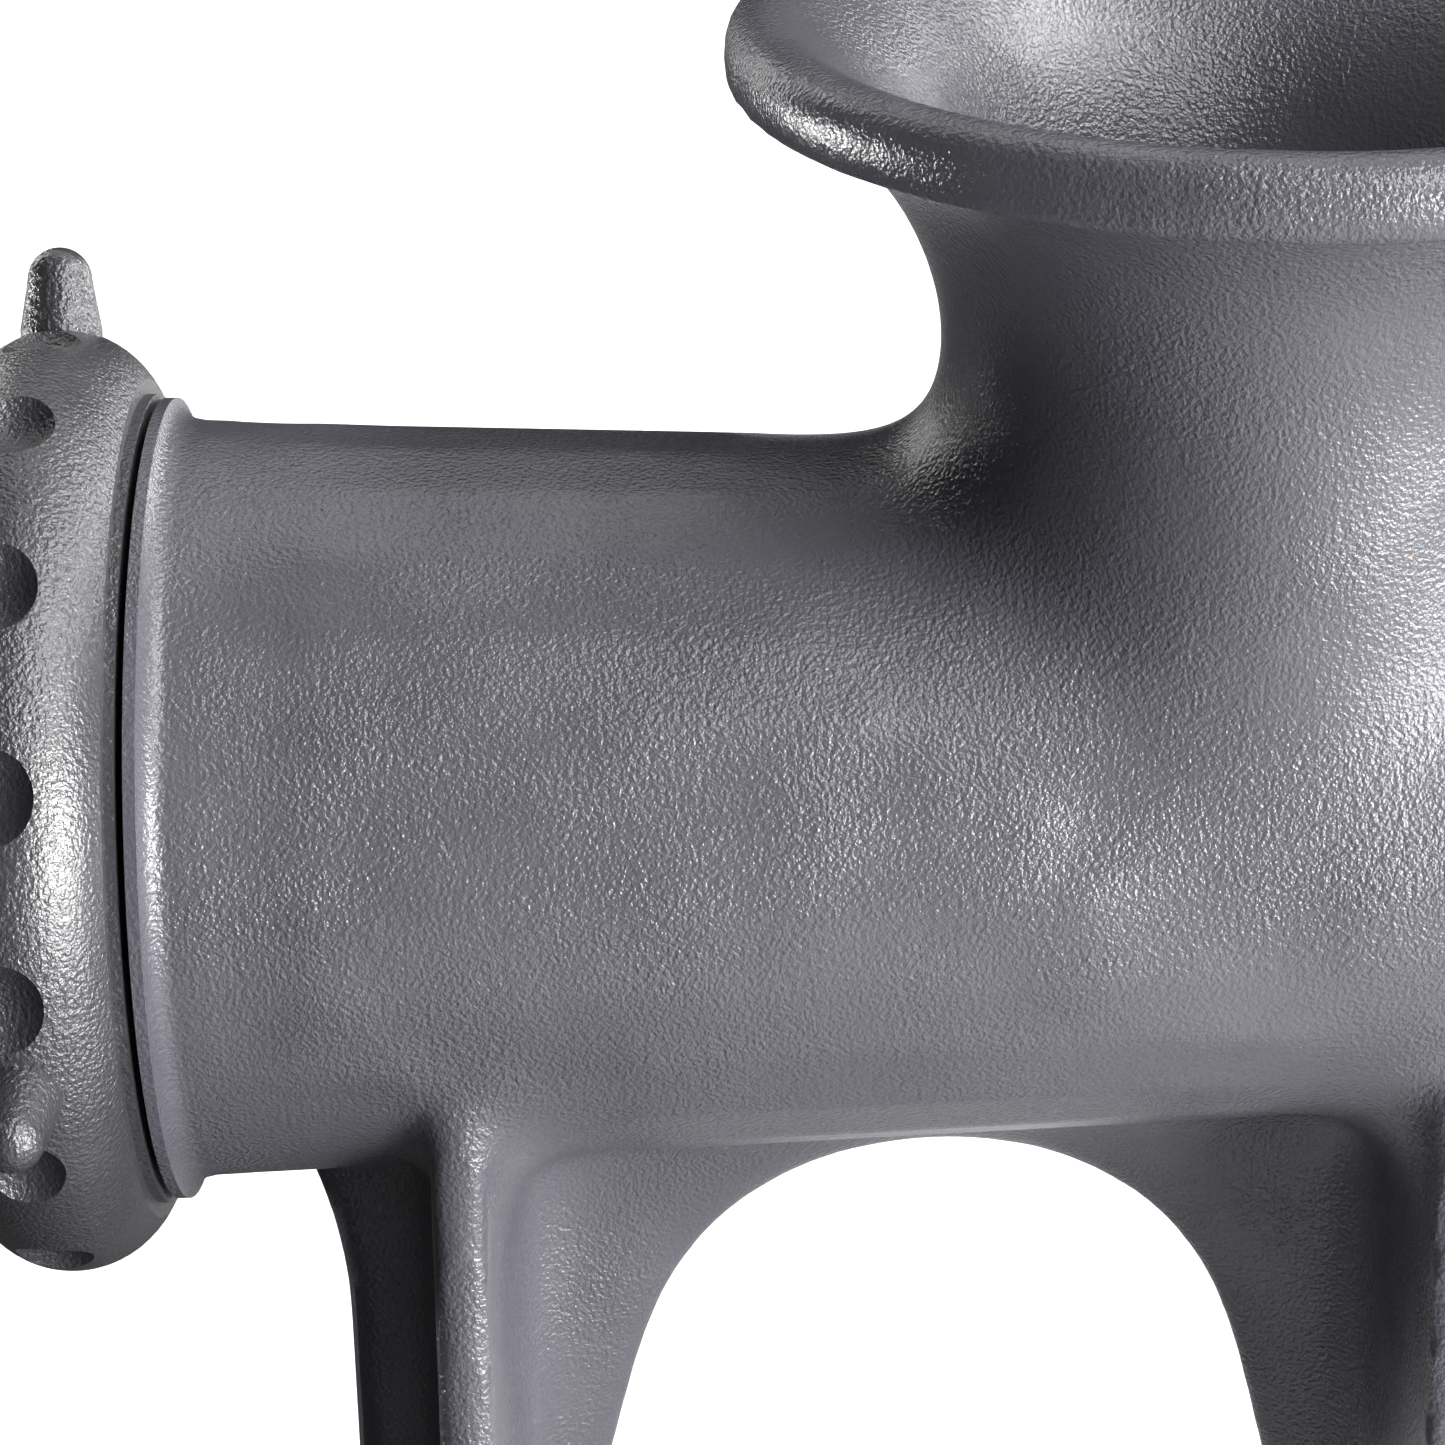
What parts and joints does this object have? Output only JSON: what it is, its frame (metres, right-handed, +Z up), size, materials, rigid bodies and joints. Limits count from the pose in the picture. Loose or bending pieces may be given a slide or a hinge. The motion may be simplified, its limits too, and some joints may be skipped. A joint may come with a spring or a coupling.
{
  "type": "hand crank meat grinder",
  "caption": "Bolt-down cast iron meat grinder: round hopper over a tapered barrel, auger turned by a hand crank, knife and drilled plate held by a ring nut.",
  "frame": {"origin": "middle of the four foot bolts, on the plane that the feet stand on", "axes": "+Z up, +X along the barrel from the outlet towards the crank, +Y across"},
  "size_m": [0.3417, 0.15, 0.3655],
  "materials": {
    "cast_grey": "semi-gloss grey cast skin",
    "cast_ring": "semi-gloss grey cast skin",
    "ground_steel": "ground",
    "plated_steel": "dull plated",
    "tinned_iron": "tinned",
    "bronze": "satin",
    "fibre": "matte",
    "beech": "oiled"
  },
  "bodies": {
    "frame": {"body_casting": "cast_grey", "rear_bush": "bronze", "plate_key": "ground_steel"},
    "drive": {"auger": "tinned_iron", "knife_stud": "ground_steel", "knife": "ground_steel", "thrust_washer": "fibre", "crank_arm": "cast_grey", "grip_bolt": "plated_steel", "grip_inner_washer": "plated_steel", "grip_outer_washer": "plated_steel", "grip_lock_washer": "plated_steel", "grip_nut": "plated_steel"},
    "grip": {"wood_grip": "beech", "grip_ferrule": "bronze"},
    "clamp": {"crank_washer": "plated_steel"},
    "thumb_screw": {"wing_screw": "plated_steel"},
    "plate": {"cutting_plate": "ground_steel"},
    "ring": {"ring_nut": "cast_ring"}
  },
  "joints": [
    {"name": "crank_turn", "type": "hinge", "parent": "frame", "child": "drive", "pos_m": [0, 0, 0.15], "axis": [1, 0, 0], "continuous": true},
    {"name": "grip_spin", "type": "hinge", "parent": "drive", "child": "grip", "pos_m": [0.135, 0, 0.35], "axis": [1, 0, 0], "continuous": true},
    {"name": "washer_slide", "type": "slide", "parent": "drive", "child": "clamp", "axis": [1, 0, 0], "range_m": [0, 0.015]},
    {"name": "wing_screw_turn", "type": "hinge", "parent": "clamp", "child": "thumb_screw", "pos_m": [0.12, 0, 0.15], "axis": [1, 0, 0], "range_deg": [0, 4320]},
    {"name": "plate_slide", "type": "slide", "parent": "frame", "child": "plate", "axis": [-1, 0, 0], "range_m": [0, 0.012]},
    {"name": "ring_turn", "type": "hinge", "parent": "plate", "child": "ring", "pos_m": [-0.09, 0, 0.15], "axis": [-1, 0, 0], "range_deg": [0, 1440]}
  ],
  "couplings": [
    {"joint": "washer_slide", "follows": "wing_screw_turn", "m_per_rad": 0.00019894},
    {"joint": "plate_slide", "follows": "ring_turn", "m_per_rad": 0.00047746}
  ]
}
